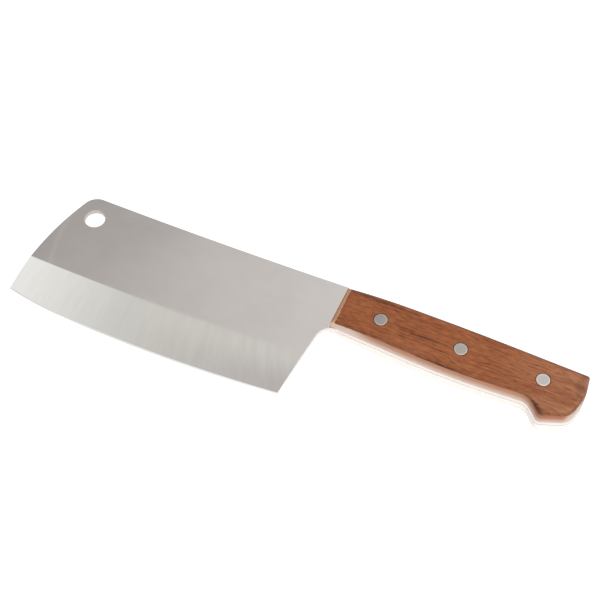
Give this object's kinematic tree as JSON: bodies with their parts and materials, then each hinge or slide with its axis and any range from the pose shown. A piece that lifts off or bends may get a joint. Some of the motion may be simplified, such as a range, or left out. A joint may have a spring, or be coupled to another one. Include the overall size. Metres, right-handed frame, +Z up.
{
  "type": "kitchen cleaver",
  "caption": "Kitchen cleaver with a broad ground steel blade, a hanging hole near the toe and a full tang riveted between hooked hardwood scales.",
  "frame": {"origin": "on the lower scale's outer face, under the middle of the whole outline as the cleaver lies with its left side up", "axes": "+X from the blade to the butt of the handle, +Y from the cutting edge to the spine, +Z up out of the left scale"},
  "size_m": [0.2944, 0.0776, 0.017],
  "materials": {
    "blade_steel": "satin, with a ground bevel",
    "scale_wood": "satin oiled",
    "rivet_metal": "ground flush, satin"
  },
  "bodies": {
    "root": {"blade": "blade_steel", "left_scale": "scale_wood", "right_scale": "scale_wood", "front_rivet_stud": "rivet_metal", "middle_rivet_stud": "rivet_metal", "rear_rivet_stud": "rivet_metal", "front_rivet_socket": "rivet_metal", "middle_rivet_socket": "rivet_metal", "rear_rivet_socket": "rivet_metal"}
  },
  "joints": []
}
